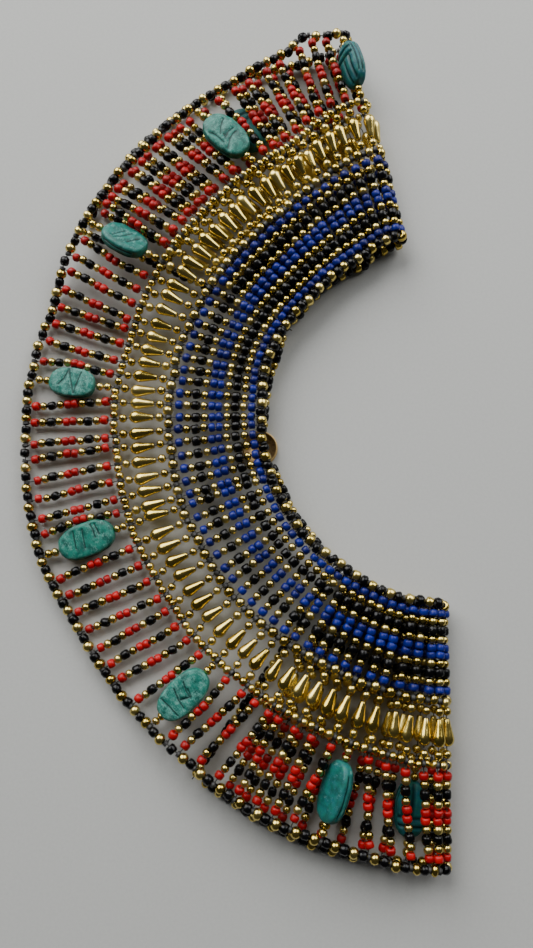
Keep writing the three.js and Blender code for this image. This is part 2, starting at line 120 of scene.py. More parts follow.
lay = {
    "stack": 11.5,  # height of the upper layer where it lies on the lower one
    "foldTop": (76.2, 76.3, 76.3, 75.5),  # at the rim, the upper, the lower and the neck string
    "foldBottom": (-86.6, -86.3, -85.8, -84.1),
    "endTop": 127.6,
    "endBottom": -123.0,
    "underHeights": (2.1, 4.1, 3.4, 2.1),  # of the lower layer, at the same four strings
    "claspAngle": -8.4,
    "claspRadius": neckRadius + 0.9,
    "claspLift": 0.1,  # the clasp's underside above the collar's own zero
    "cordRadii": (neckRadius - 1.7, neckRadius - 3.1),  # above and below the clasp
    "cordHeight": 1.7,
}
sectionColumns = ("at", "rim", "upper", "lower", "neck", "rimUp", "upperUp", "neckUp")
sectionRows = [
    (131, 1.01, 1, 1, 1, 0.9, 1, 0.87),
    (112, 1.03, 1, 1, 1, 0.9, 1, 0.87),
    (96, 1.025, 1, 1, 1, 0.9, 1, 0.87),
    (86, 1, 1.03, 1.02, 1.045, 0.9, 1, 0.87),
    (75, 1.019, 1.05, 1.054, 1.045, 0.9, 1, 0.87),
    (71.5, 1.036, 1.041, 1.045, 1.039, 0.9, 1, 0.87),
    (67.5, 1.008, 1.019, 1.031, 1.022, 0.9, 1, 0.86),
    (64, 1.004, 0.999, 1.013, 1.008, 0.9, 1, 0.85),
    (60, 0.995, 0.988, 1.002, 1, 0.9, 1, 0.85),
    (52, 0.996, 0.987, 0.982, 0.993, 0.9, 1, 0.85),
    (45, 0.997, 0.986, 0.982, 0.987, 0.9, 1, 0.85),
    (31, 0.995, 0.99, 0.99, 1, 0.95, 1, 0.82),
    (25, 1.001, 1, 1, 1.01, 0.6, 0.72, 0.8),
    (16, 0.993, 1.004, 1.01, 1.012, 0.22, 0.31, 0.78),
    (5, 1.004, 1.014, 1.012, 0.998, 0.22, 0.3, 0.78),
    (-19, 1.008, 1.004, 1.006, 0.992, 0.22, 0.3, 0.78),
    (-31, 0.99, 0.995, 0.998, 0.995, 0.22, 0.3, 0.78),
    (-41, 0.988, 0.995, 1, 0.99, 0.23, 0.32, 0.78),
    (-50, 0.982, 0.986, 0.988, 0.982, 0.6, 0.72, 0.8),
    (-63, 0.987, 0.983, 0.978, 0.98, 0.85, 0.95, 0.85),
    (-74, 0.985, 0.985, 0.982, 0.985, 0.9, 1, 0.87),
    (-85, 0.997, 0.998, 0.988, 0.985, 0.9, 1, 0.87),
    (-105, 1.01, 1, 1, 1, 0.9, 1, 0.87),
    (-125, 1, 1, 1, 1, 0.9, 1, 0.87),
]
sections = [dict(zip(sectionColumns, row)) for row in sectionRows]


def readSection(column, at):
    # a column of the table at an angle, eased from one row to the next
    if at >= sections[0]["at"]:
        return sections[0][column]
    for a, b in zip(sections, sections[1:]):
        if at >= b["at"]:
            share = (at - a["at"]) / (b["at"] - a["at"])
            return a[column] + (b[column] - a[column]) * share * share * (3 - 2 * share)
    return sections[-1][column]


def between(radius, known, values):
    # the value at a radius, from those at known radii that fall from the rim inwards
    i = 0
    while i < len(known) - 2 and radius < known[i + 1]:
        i += 1
    share = (known[i] - radius) / (known[i] - known[i + 1])
    return values[i] + (values[i + 1] - values[i]) * share


def realRadius(at, radius):
    # a radius as it lies: each string is shifted whole, with the beads close to it on both sides
    bounds, shifts = [], []
    for column, ring in zip(sectionColumns[1:5], rings):
        shift = ring * (readSection(column, at) - 1)
        bounds += [ring + string["held"], ring - string["held"]]
        shifts += [shift, shift]
    return radius + between(radius, bounds, shifts)


def topHeight(at, radius):
    lifts = [readSection(column, at) for column in sectionColumns[5:]]
    return lay["stack"] * between(radius, [rimRadius, upperRadius, neckRadius], lifts)


def polar(angle, radius, height):
    turn = math.radians(angle)
    return Vector((-radius * math.cos(turn), radius * math.sin(turn), height))


def spot(at, radius):
    # a point of the folded collar and the way its front faces; past a fold it goes round and under
    sense = 1 if at > 0 else -1
    fold = between(radius, rings, lay["foldTop"] if at > 0 else lay["foldBottom"])
    r = realRadius(at, radius)
    past = r * math.radians(sense * (at - fold))
    if past <= 0:
        return polar(at, r, topHeight(at, radius)), Vector((0, 0, 1))
    low = between(radius, rings, lay["underHeights"])
    bend = (topHeight(fold, radius) - low) / 2
    if past >= math.pi * bend:
        angle = fold - sense * math.degrees((past - math.pi * bend) / r)
        return polar(angle, r, low), Vector((0, 0, -1))
    turn = past / bend
    angle = fold + sense * math.degrees(bend * math.sin(turn) / r)
    flat = math.radians(angle)
    outward = Vector((math.sin(flat), math.cos(flat), 0)) * sense
    front = outward * math.sin(turn) + Vector((0, 0, math.cos(turn)))
    return polar(angle, r, low + bend * (1 + math.cos(turn))), front


claspLow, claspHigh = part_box("clasp")
collarCentre = (claspLow + claspHigh) / 2 - polar(lay["claspAngle"], lay["claspRadius"], 0) * mm
collarCentre.z = claspLow.z - lay["claspLift"] * mm


def inFrame(point):
    return collarCentre + point * mm


# Where the strands run: outer, upper and inner are a strand's angles at the rim, at the upper string and
# from the drops inwards. A scarab's strand leans by so many degrees on its way out to the rim.

spread = {
    "between": 8,  # strands from one scarab to the next
    "pitch": 2.69,  # degrees between strands past the last scarab
    "bow": 0.3,  # mm by which a strand swings out of line in the outer band, at most
    "wander": 0.3,  # and in the inner band
}
scarabColumns = ("at", "lean", "roll", "long", "wide")
scarabRows = [
    (99.6, 0, 0, 1, 1),
    (76.6, 0, 100, 0.97, 0.95),
    (53.3, -1.8, 4, 1.07, 1.05),
    (29.4, 0, 28, 0.95, 0.98),
    (5.9, 0, 3, 0.91, 0.92),
    (-18.6, -0.3, 0, 1.1, 1.02),
    (-45.9, 0.5, 0, 1.11, 0.98),
    (-71.7, 0, 58, 1.09, 1),
    (-94.6, 0, 0, 1, 0.9),
]
scarabsLie = [dict(zip(scarabColumns, row)) for row in scarabRows]
# How far each of the strands after a scarab stands off its even place: at the rim, at the upper string and
# from the drops inwards
strayOuter = [
    (0, 0, 0, 0, 0.2, 0.6, 1.2, 1.8),
    (-0.2, 0.2, 0.7, -0.3, 0, -0.6, -0.7, -0.9),
    (-1.2, -0.9, -0.9, -1.3, -1.2, -1.9, -0.9, 0.4),
    (0.9, 0.6, 0.9, 0.8, 0.6, 0.5, 0.4, -0.5),
    (-0.7, -0.5, -1.0, -0.6, -1.0, -1.0, -1.2, -1.0),
    (-0.5, -0.1, 0.3, 0.6, 0.4, 0.8, 1.3, 0.6),
    (0.6, 1.3, 1.4, 1.1, 0.7, 0.9, 1.1, 1.3),
    (-3.4, -3.7, -3.9, -3.8, -2.6, -1.8, -0.9, 0),
]
strayUpper = [
    (0, 0, 0, 0, 0.1, 0.4, 0.8, 1.3),
    (0, 0, 0, 0, 0.2, 0.4, 0.7, 1.0),
    (0, 0.2, -0.6, -0.8, -0.6, 0.4, 0.6, 0.4),
    (-0.7, -0.8, -0.6, -0.8, 0.3, 0.1, -0.6, -0.4),
    (0.1, -0.3, -0.6, 0.4, 0, -0.2, -0.5, -0.2),
    (-0.6, -0.9, -0.9, -1.3, -0.6, -0.5, -0.5, -0.4),
    (-0.4, -0.9, -0.8, -0.5, 0.6, 0.5, 0.4, -0.1),
    (-0.6, -1.1, -1.6, -1.9, -1.6, -1.0, -0.5, 0),
]
strayInner = [
    (0, 0, 0, 0, 0, 0, 0, 0),
    (0, 0, 0, 0, 0, 0, 0, 0),
    (0, 0, 0, 0, 0, 0, 0, 0),
    (0, 0, 0, 0, 0, 0, 0, 0),
    (0, 0, 0, -0.1, -0.3, -0.5, -0.6, -0.5),
    (0, 0, 0, 0, 0, 0, 0, 0),
    (0, 0, 0, 0, 0, 0, 0, 0),
    (-0.3, -1.2, -1.5, -1.8, -1.7, -1.2, -0.6, 0),
]


def besideScarab(lies):
    # from a scarab's thread to the strand beside its widest point
    flat, tipped = abs(math.cos(math.radians(lies["roll"]))), abs(math.sin(math.radians(lies["roll"])))
    halfWidth, halfDepth = scarab["width"] * lies["wide"] / 2, scarab["thickness"] / 2
    reach = max(
        halfWidth * flat + (halfDepth - scarab["bevel"]) * tipped,
        (halfWidth - scarab["bevel"]) * flat + halfDepth * tipped,
    )
    return math.degrees((reach + string["gap"] + string["strandBead"] / 2) / scarabRadius)


def listStrands():
    clear = math.degrees((drop["width"] / 2 + string["gap"]) / lowerRadius)

    def pastLast(lies, sense, end):
        start = lies["at"] + sense * besideScarab(lies)
        count = math.floor((sense * (end - start) - clear) / spread["pitch"])
        ats = [start + sense * i * spread["pitch"] for i in range(count + 1)]
        return [{"outer": at, "middle": at, "upper": at, "inner": at, "scarab": None} for at in ats]

    found = pastLast(scarabsLie[0], 1, lay["endTop"])[::-1]
    for n, lies in enumerate(scarabsLie):
        at = lies["at"]
        outer, upper = at + lies["lean"] / 2, at - lies["lean"] / 2
        found.append({"outer": outer, "middle": at, "upper": upper, "inner": at, "scarab": n})
        if n == len(scarabsLie) - 1:
            break
        after = scarabsLie[n + 1]
        start = at - besideScarab(lies)
        stop = after["at"] + besideScarab(after)
        for i in range(spread["between"]):
            evenOuter = start + (stop - start) * i / (spread["between"] - 1)
            even = at + (after["at"] - at) * (i + 1) / (spread["between"] + 1)
            outer = evenOuter + strayOuter[n][i]
            upper = even + strayUpper[n][i]
            inner = even + strayInner[n][i]
            middle = min(start, max(stop, (outer + upper) / 2))
            found.append({"outer": outer, "middle": middle, "upper": upper, "inner": inner, "scarab": None})
    found += pastLast(scarabsLie[-1], -1, lay["endBottom"])
    return found


strands = listStrands()
for strand in strands:
    strand["bow"] = dice.uniform(-spread["bow"], spread["bow"])
    strand["wander"] = dice.uniform(-spread["wander"], spread["wander"])
bends = [
    rimInside - string["gap"],
    scarabRadius,
    upperOutside,
    upperInside,
    dropOuterEnd + 2 * string["gap"],
]


def strandAngle(strand, radius):
    at = strand["outer"] if radius >= bends[0] else strand["inner"]
    if bends[-1] < radius < bends[0]:
        parts = ("outer", "middle", "upper", "upper", "inner")
        at = between(radius, bends, [strand[part] for part in parts])
    inBand = (radius - rings[1]) / (rings[0] - rings[1])
    inNet = (radius - rings[3]) / (rings[2] - rings[3])
    if 0 < inBand < 1:
        at += math.degrees(strand["bow"] * math.sin(2 * math.pi * inBand) / radius)
    elif 0 < inNet < 1:
        at += math.degrees(strand["wander"] * math.sin(math.pi * inNet) / radius)
    return at


def onStrand(strand, radius):
    return spot(strandAngle(strand, radius), radius)


print(len(strands), "strands laid out")


# Bead shapes: an outline of radius and place along the thread, spun round the thread

touching = 1e-4  # points nearer to each other than this are one


def spun(outline, sides):
    bm = bmesh.new()
    points = [bm.verts.new((radius, 0, place)) for radius, place in outline]
    edges = [bm.edges.new(pair) for pair in zip(points, points[1:] + points[:1])]
    bmesh.ops.spin(
        bm,
        geom=points + edges,
        cent=(0, 0, 0),
        axis=(0, 0, 1),
        dvec=(0, 0, 0),
        angle=2 * math.pi,
        steps=sides,
        use_merge=True,
        use_duplicate=False,
    )
    bmesh.ops.remove_doubles(bm, verts=bm.verts, dist=touching)
    bmesh.ops.recalc_face_normals(bm, faces=bm.faces)
    return bm


def meshOf(bm, name):
    for face in bm.faces:
        face.smooth = True
    mesh = bpy.data.meshes.new(name)
    bm.to_mesh(mesh)
    bm.free()
    mesh.attributes.new("tone", "FLOAT", "POINT")
    return mesh


beadShape = {
    "hole": 0.45,
    "mouth": 0.85,  # share of half a seed bead's length at which its hole opens
    "edge": 0.8,  # share of its radius to which its ends are flat
    "straight": 0.52,  # share of its length along which its side is straight
    "ballTilts": (-72, -45, -15, 15, 45, 72),  # of the points on a round bead, end to end
}


def seedOutline(radius, half):
    hole, mouth = beadShape["hole"], half * beadShape["mouth"]
    edge, straight = radius * beadShape["edge"], half * beadShape["straight"]
    lower = [(hole, -mouth), (edge, -half), (radius, -straight)]
    return lower + [(radius, straight), (edge, half), (hole, mouth)]


def ballOutline(radius, half):
    tilts = [math.radians(angle) for angle in beadShape["ballTilts"]]
    stretch = half / math.sin(tilts[-1])
    girth = radius / math.cos(tilts[2])
    return [(max(beadShape["hole"], girth * math.cos(tilt)), stretch * math.sin(tilt)) for tilt in tilts]


beadKinds = {
    "red": {"colour": "Red", "width": 3.35, "length": 2.45, "outline": seedOutline, "sides": 10},
    "black": {"colour": "Black", "width": 3.4, "length": 3.0, "outline": seedOutline, "sides": 9},
    "blue": {"colour": "Blue", "width": 3.4, "length": 2.5, "outline": seedOutline, "sides": 10},
    "innerBlack": {"colour": "Black", "width": 3.75, "length": 3.1, "outline": seedOutline, "sides": 9},
    "gold": {"colour": "Gold", "width": 3.2, "length": 3.0, "outline": ballOutline, "sides": 10},
    "rimGold": {"colour": "Gold", "width": 4.05, "length": 3.7, "outline": ballOutline, "sides": 12},
    "rimBlack": {"colour": "Black", "width": 3.6, "length": 2.9, "outline": seedOutline, "sides": 10},
    "ringGold": {"colour": "Gold", "width": 3.3, "length": 2.95, "outline": ballOutline, "sides": 10},
    "lowerGold": {"colour": "Gold", "width": 3.95, "length": 3.6, "outline": ballOutline, "sides": 12},
    "neckGold": {"colour": "Gold", "width": 4.1, "length": 3.1, "outline": seedOutline, "sides": 12},
    "neckBlack": {"colour": "Black", "width": 4.2, "length": 2.4, "outline": seedOutline, "sides": 10},
    "cordGold": {"colour": "Gold", "width": 2.85, "length": 2.7, "outline": ballOutline, "sides": 9},
    "cordBlack": {"colour": "Black", "width": 3.05, "length": 2.8, "outline": seedOutline, "sides": 9},
}
beadLoose = {
    "turn": 8,  # degrees by which a bead is tipped on its thread
    "side": 0.12,  # mm by which it hangs to one side
    "size": 0.06,
    "play": (0.05, 0.45),  # shares of the spare room before each bead of a row
    "endPlay": (0.7, 1.2),  # and at the row's ends
}


def makeBead(kind):
    facts = beadKinds[kind]
    outline = facts["outline"](facts["width"] / 2, facts["length"] / 2)
    return meshOf(spun(outline, facts["sides"]), kind)


def makeDrop():
    # narrow end at zero, with the dark mouth of its hole, and the wide end outwards
    outline = [(drop["hole"], drop["holeRing"]), (drop["hole"], drop["lip"])]
    outline += drop["neck"]
    outline += [(drop["width"] / 2 * share, place) for share, place in drop["foot"]]
    outline.append((drop["hole"], drop["length"] - drop["lip"]))
    bm = spun(outline, drop["sides"])
    flutes = drop["sides"] / 2  # so that every other column of points lies in one
    for vert in bm.verts:
        turn = math.atan2(vert.co.y, vert.co.x)
        body = math.sin(math.pi * min(1, max(0, vert.co.z / drop["length"])))
        vert.co.xy *= 1 - drop["flute"] * body * (1 + math.cos(flutes * turn))
    return meshOf(bm, "drop")


wrap = {"inside": 0.5, "outside": 1.3, "valley": 0.72, "width": 1.6, "turns": 3, "sides": 8}


def makeWrap():
    # a few turns of thread round a string, drawn as one ridged ring
    pitch = wrap["width"] / wrap["turns"]
    half = wrap["width"] / 2
    valley = wrap["outside"] * wrap["valley"]
    outline = [(wrap["inside"], -half)]
    for i in range(wrap["turns"]):
        start = i * pitch - half
        outline += [(valley, start), (wrap["outside"], start + pitch / 2)]
    outline += [(valley, half), (wrap["inside"], half)]
    return meshOf(spun(outline, wrap["sides"]), "wrap")


beadMeshes = {kind: makeBead(kind) for kind in beadKinds}
beadMeshes["drop"] = makeDrop()
beadMeshes["wrap"] = makeWrap()
waiting = {}  # every bead waits here under its piece's name until the pieces are joined


def putBead(piece, kind, point, direction, front, squeeze=1, play=1):
    # one bead on its thread, tipped, turned, sized and shifted a little by chance
    side = direction.cross(front).normalized()
    up = side.cross(direction).normalized()
    turn = Matrix((side, up, direction)).transposed().to_4x4()
    wobble = Matrix.Rotation(math.radians(dice.gauss(0, beadLoose["turn"]) * play), 4, side)
    wobble @= Matrix.Rotation(math.radians(dice.gauss(0, beadLoose["turn"]) * play), 4, up)
    spin = Matrix.Rotation(dice.uniform(0, 2 * math.pi), 4, "Z")
    grow = 1 + dice.uniform(-1, 1) * beadLoose["size"] * play
    scale = Matrix.Diagonal((grow * mm, grow * mm, grow * squeeze * mm, 1))
    shift = (side * dice.gauss(0, 1) + up * dice.gauss(0, 1)) * beadLoose["side"] * play
    place = Matrix.Translation(inFrame(point + shift)) @ wobble @ turn @ spin @ scale
    waiting.setdefault(piece, []).append((kind, place, dice.random()))


def layBeads(path, kinds, band, ends=(1, 1)):
    # a row of beads from one end of a path to the other, with uneven play between them
    lengths = [(b[0] - a[0]).length for a, b in zip(path, path[1:])]
    sizes = [beadKinds[kind]["length"] for kind in kinds]
    squeeze = min(1, sum(lengths) / sum(sizes))
    spare = sum(lengths) - squeeze * sum(sizes)
    shares = [dice.uniform(*beadLoose["play"]) for _ in range(len(kinds) + 1)]
    shares[0] = dice.uniform(*beadLoose["endPlay"]) * ends[0]
    shares[-1] = dice.uniform(*beadLoose["endPlay"]) * ends[1]
    reach = 0
    for kind, size, share in zip(kinds, sizes, shares):
        reach += spare * share / sum(shares) + size * squeeze / 2
        n = 0
        left = reach
        while n < len(lengths) - 1 and left > lengths[n]:
            left -= lengths[n]
            n += 1
        a, b = path[n], path[n + 1]
        point = a[0].lerp(b[0], left / lengths[n])
        putBead(band + beadKinds[kind]["colour"], kind, point, (b[0] - a[0]).normalized(), a[1], squeeze)
        reach += size * squeeze / 2


# Beads on the strands

outerRow = ("red", "gold", "black", "gold", "red", "red", "gold", "black", "gold", "red")
innerRow = ("blue", "gold", "innerBlack", "gold", "blue", "blue", "gold", "innerBlack", "gold", "blue")
besideScarabRow = ("gold", "gold")
rowEnds = {
    "rim": 0.2,  # how far a row reaches in among the rim string's beads
    "upper": 0.1,  # room kept from the upper string's beads
    "dropOuter": 0.4,  # room kept from a drop's wide end
    "dropInner": 0.6,  # and from its narrow end
    "lowerOuter": 1.8,  # from the lower string outwards
    "lowerInner": 1.7,  # and inwards
    "neck": 1.9,  # from the neck string outwards
    "atNeck": (1, 0.3),  # shares of the usual play at the two ends of an inner row
    "steps": 6,
    "innerSteps": 8,
}
rimSide = rimInside + rowEnds["rim"]
upperSide = upperOutside + rowEnds["upper"]
belowDrop = dropInnerEnd - rowEnds["dropInner"]
belowLower = lowerRadius - rowEnds["lowerInner"]


def strandPath(strand, start, stop, steps=rowEnds["steps"]):
    return [onStrand(strand, start + (stop - start) * i / steps) for i in range(steps + 1)]


for strand in strands:
    dropOuterPath = strandPath(strand, upperInside, dropOuterEnd + rowEnds["dropOuter"])
    dropInnerPath = strandPath(strand, belowDrop, lowerRadius + rowEnds["lowerOuter"])
    innerPath = strandPath(strand, belowLower, neckRadius + rowEnds["neck"], rowEnds["innerSteps"])
    if strand["scarab"] is None:
        layBeads(strandPath(strand, rimSide, upperSide), outerRow, "outer")
    else:
        half = scarab["length"] * scarabsLie[strand["scarab"]]["long"] / 2
        layBeads(strandPath(strand, rimSide, scarabRadius + half), besideScarabRow, "outer")
        layBeads(strandPath(strand, scarabRadius - half, upperSide), besideScarabRow, "outer")
    layBeads(dropOuterPath, ["gold"], "drop")
    layBeads(dropInnerPath, ["gold"], "drop")
    layBeads(innerPath, innerRow, "inner", rowEnds["atNeck"])
    start, front = onStrand(strand, dropInnerEnd)
    toWideEnd = onStrand(strand, dropOuterEnd)[0] - start
    squeeze = min(1, toWideEnd.length / drop["length"])
    putBead("dropBeads", "drop", start, toWideEnd.normalized(), front, squeeze, drop["loose"])


# Beads on the four strings, in the room between one strand's thread wraps and the next

stringRows = {
    "rim": {"radius": rimRadius, "kinds": ("rimGold", "rimBlack"), "pitch": 3.5, "wrap": 0.75},
    "upper": {"radius": upperRadius, "kinds": ("ringGold",), "pitch": 2.7, "wrap": 0.75},
    "lower": {"radius": lowerRadius, "kinds": ("lowerGold",), "pitch": 4, "wrap": 1},
    "neck": {"radius": neckRadius, "kinds": ("neckGold", "neckBlack"), "pitch": 3, "wrap": 0.55},
}
stringLoose = {
    "inset": 0.3,  # degrees from the panel's end to the first and the last bead
    "atWrap": 1 / 3,  # share of a wrap's width that its neighbours leave free
    "leastRoom": 1.4,  # mm, below which no bead goes in
    "bulge": 0.5,  # mm by which the beads between two strands stray out or in, at most
    "steps": 4,
    "tangent": 0.3,  # degrees to each side, from which a wrap takes its direction
}


def bulgedPath(start, stop, radius):
    # a stretch of a string that strays a little out or in
    bulge = dice.uniform(-stringLoose["bulge"], stringLoose["bulge"])
    shares = [i / stringLoose["steps"] for i in range(stringLoose["steps"] + 1)]
    return [spot(start + (stop - start) * s, radius + bulge * math.sin(math.pi * s)) for s in shares]


def fillString(band, row):
    radius, kinds = row["radius"], row["kinds"]
    ats = [lay["endTop"] - stringLoose["inset"]]
    ats += [strandAngle(strand, radius) for strand in strands]
    ats.append(lay["endBottom"] + stringLoose["inset"])
    margin = math.degrees(wrap["width"] * row["wrap"] * stringLoose["atWrap"] / radius)
    count = 0
    for a, b in zip(ats, ats[1:]):
        start, stop = a - margin, b + margin
        room = radius * math.radians(start - stop)
        if room < stringLoose["leastRoom"]:
            continue
        beads = max(1, round(room / row["pitch"]))
        inTurn = [kinds[(count + i) % len(kinds)] for i in range(beads)]
        layBeads(bulgedPath(start, stop, radius), inTurn, band)
        count += beads
    for at in ats[1:-1]:
        point, front = spot(at, radius)
        after, before = at + stringLoose["tangent"], at - stringLoose["tangent"]
        along = (spot(after, radius)[0] - spot(before, radius)[0]).normalized()
        putBead("threadWraps", "wrap", point, along, front, squeeze=row["wrap"])


for band, row in stringRows.items():
    fillString(band, row)


# The strings along the panel's ends and the cords to the clasp: two gold beads, two black, and so on

cord = {
    "row": ("cordGold", "cordGold", "cordBlack", "cordBlack"),
    "pitch": 3.0,
    "steps": 11,
    "run": 0.25,  # share of a neck cord that leads down from the panel's corner
}


def endPath(end, sense):
    outermost, innermost = rimRadius + string["rimBead"] / 2, neckRadius - string["neckBead"] / 2
    radii = (outermost, upperRadius, lowerRadius, innermost)
    half = string["gap"] + string["cordBead"] / 2
    return [spot(end + sense * math.degrees(half / radius), radius) for radius in radii]


def neckCordPath(end, sense):
    corner = spot(end, neckRadius)[0]
    reach = math.degrees((2 * string["gap"] + string["cordBead"]) / neckRadius)
    start = math.degrees(math.atan2(corner.y, -corner.x)) - sense * reach
    claspHalf = (claspHigh.x - claspLow.x) / 2 / mm
    inside = lay["cordRadii"][0 if sense > 0 else 1]
    stop = lay["claspAngle"] + sense * math.degrees((claspHalf + string["cordBead"]) / inside)
    points = []
    for i in range(cord["steps"] + 1):
        share = i / cord["steps"]
        radius = neckRadius + (inside - neckRadius) * min(1, share / cord["run"])
        points.append(polar(start + (stop - start) * share, radius, lay["cordHeight"]))
    middle = polar(lay["claspAngle"], lay["claspRadius"], lay["cordHeight"])
    points.append(middle + (points[-1] - middle).normalized() * (claspHalf + string["gap"]))
    return [(point, Vector((0, 0, 1))) for point in points]


def fillCord(path, band):
    total = sum((b[0] - a[0]).length for a, b in zip(path, path[1:]))
    kinds = [cord["row"][i % len(cord["row"])] for i in range(int(total / cord["pitch"]))]
    layBeads(path, kinds, band)


endPaths = {"endTop": endPath(lay["endTop"], 1), "endBottom": endPath(lay["endBottom"], -1)}
cordPaths = {"cordTop": neckCordPath(lay["endTop"], 1), "cordBottom": neckCordPath(lay["endBottom"], -1)}
for band, path in {**endPaths, **cordPaths}.items():
    fillCord(path, band)


def joinBeads(piece):
    # one mesh of all the beads that wait for a piece, each with a tone of its own
    bm = bmesh.new()
    for kind, place, tone in waiting[piece]:
        copy = beadMeshes[kind].copy()
        copy.transform(place)
        copy.attributes["tone"].data.foreach_set("value", [tone] * len(copy.vertices))
        bm.from_mesh(copy)
        bpy.data.meshes.remove(copy)
    mesh = bpy.data.meshes.new(piece)
    bm.to_mesh(mesh)
    bm.free()
    return inScene(piece, mesh)


def inScene(name, mesh):
    made = bpy.data.objects.new(name, mesh)
    bpy.context.scene.collection.objects.link(made)
    return made


beadPieces = {piece: joinBeads(piece) for piece in waiting}
print(sum(len(beads) for beads in waiting.values()), "beads strung in", len(beadPieces), "pieces")


# Threads: thin nylon along every strand, string and cord

thread = {
    "radius": 0.22,
    "roundness": 1,
    "steps": 150,  # along a whole string
    "outerStops": [152, 143, 134],  # points of a strand between the rim and the upper string
    "innerStops": [95, 87, 79],  # and between the lower and the neck string
}


def threadPiece(name, paths):
    curve = bpy.data.curves.new(name, "CURVE")
    curve.dimensions = "3D"
    curve.bevel_depth = thread["radius"] * mm
    curve.bevel_resolution = thread["roundness"]
    curve.use_fill_caps = True
    for path in paths:
        spline = curve.splines.new("POLY")
        spline.points.add(len(path) - 1)
        for point, place in zip(spline.points, path):
            point.co = (*inFrame(place), 1)
    holder = bpy.data.objects.new(name, curve)
    bpy.context.scene.collection.objects.link(holder)
    mesh = bpy.data.meshes.new_from_object(holder)
    bpy.data.objects.remove(holder)
    return inScene(name, mesh)


def stringThread(radius):
    steps = thread["steps"]
    span = lay["endTop"] - lay["endBottom"]
    return [spot(lay["endTop"] - span * i / steps, radius)[0] for i in range(steps + 1)]


threadRadii = [rimRadius, *thread["outerStops"], upperRadius, dropOuterEnd]
threadRadii += [dropInnerEnd, lowerRadius, *thread["innerStops"], neckRadius]
strandThreads = [[onStrand(strand, radius)[0] for radius in threadRadii] for strand in strands]
stringThreads = [stringThread(radius) for radius in rings]
stringThreads += [[point for point, _ in path] for path in {**endPaths, **cordPaths}.values()]
strandThreadPiece = threadPiece("strandThreads", strandThreads)
stringThreadPiece = threadPiece("stringThreads", stringThreads)
print("threads drawn")


# Scarabs: a faience bead with a flat engraved face, two grooves along each side and a domed back.
# Grooves are runs of points across the face in mm: first towards the strand before, then towards the rim.

scarabFaces = [
    {"worn": 0.15, "blue": 0.6, "grooves": []},
    {"worn": 0.1, "blue": 0.9, "grooves": []},
    {"worn": 0.48, "blue": 0.1, "grooves": [
        [(3.5, 5.0), (0.4, 3.3), (-1.8, 1.1)],
        [(-1.2, 0), (-1.7, -1.3)],
        [(-1.2, -1.2), (1.2, -0.3), (3.3, -0.6)],
        [(-4.4, -5.5), (-1.3, -3.4), (1.3, -2.4), (3.1, -2.5)],
        [(-4.6, 4.8), (-3.6, 2.0), (-3.7, -2.4)],
    ]},
    {"worn": 0.36, "blue": 0.3, "grooves": [
        [(-2.6, 4.0), (2.2, 1.4)],
        [(-2.9, 2.6), (-1.7, 1.0), (2.6, -1.6)],
        [(-2.5, -2.5), (2.4, -5.3)],
    ]},
    {"worn": 0.62, "blue": 0.15, "grooves": [
        [(4.3, 1.6), (0.5, 3.0), (-1.6, 4.6)],
        [(4.7, 1.6), (-0.6, -0.2), (-4.4, -1.5)],
        [(4.0, -3.3), (-0.5, -2.3), (-4.4, -1.7)],
    ]},
    {"worn": 0.38, "blue": 0, "grooves": [
        [(4.3, 3.5), (1.4, 3.9), (-2.0, 4.3)],
        [(4.0, 0), (0.6, 0.6), (-2.9, 1.0)],
        [(4.7, -3.4), (2.5, -3.8), (-0.4, -3.7)],
        [(4.4, -4.9), (0.2, -5.5)],
    ]},
    {"worn": 0.58, "blue": 0.1, "grooves": [
        [(4.4, 6.5), (0.7, 6.1), (-4.0, 6.1)],
        [(3.7, 0.7), (-0.2, 2.2), (-3.5, 2.7)],
        [(3.1, -3.4), (0.3, -2.0), (-2.7, -1.4)],
        [(0.3, -2.8), (-2.5, -1.9), (-0.7, 1.6)],
    ]},
    {"worn": 0.15, "blue": 0.5, "grooves": []},
    {"worn": 0.1, "blue": 0.8, "grooves": []},
]
backGrooves = [
    [(-6.5, 2.4), (6.5, 2.4)],
    [(-5.5, 5.4), (5.5, 5.4)],
    [(0, 2.4), (0, -9.5)],
    [(-3, -9), (-3.4, 2)],
]


def nearestRun(x, y, runs):
    best = math.inf
    for run in runs:
        for a, b in zip(run, run[1:]):
            wayX, wayY = b[0] - a[0], b[1] - a[1]
            share = ((x - a[0]) * wayX + (y - a[1]) * wayY) / (wayX * wayX + wayY * wayY)
            share = min(1, max(0, share))
            best = min(best, math.hypot(x - a[0] - wayX * share, y - a[1] - wayY * share))
    return best


def scarabPlace(n, half):
    strand = next(strand for strand in strands if strand["scarab"] == n)
    start, _ = onStrand(strand, scarabRadius - half)
    along = (onStrand(strand, scarabRadius + half)[0] - start).normalized()
    front = onStrand(strand, scarabRadius)[1]
    side = along.cross(front).normalized()
    face = side.cross(along)
    turn = Matrix((side, along, face)).transposed().to_4x4()
    roll = Matrix.Rotation(math.radians(scarabsLie[n]["roll"]), 4, "Y")
    middle = inFrame(start + along * half)
    return Matrix.Translation(middle) @ turn @ roll @ Matrix.Scale(mm, 4)


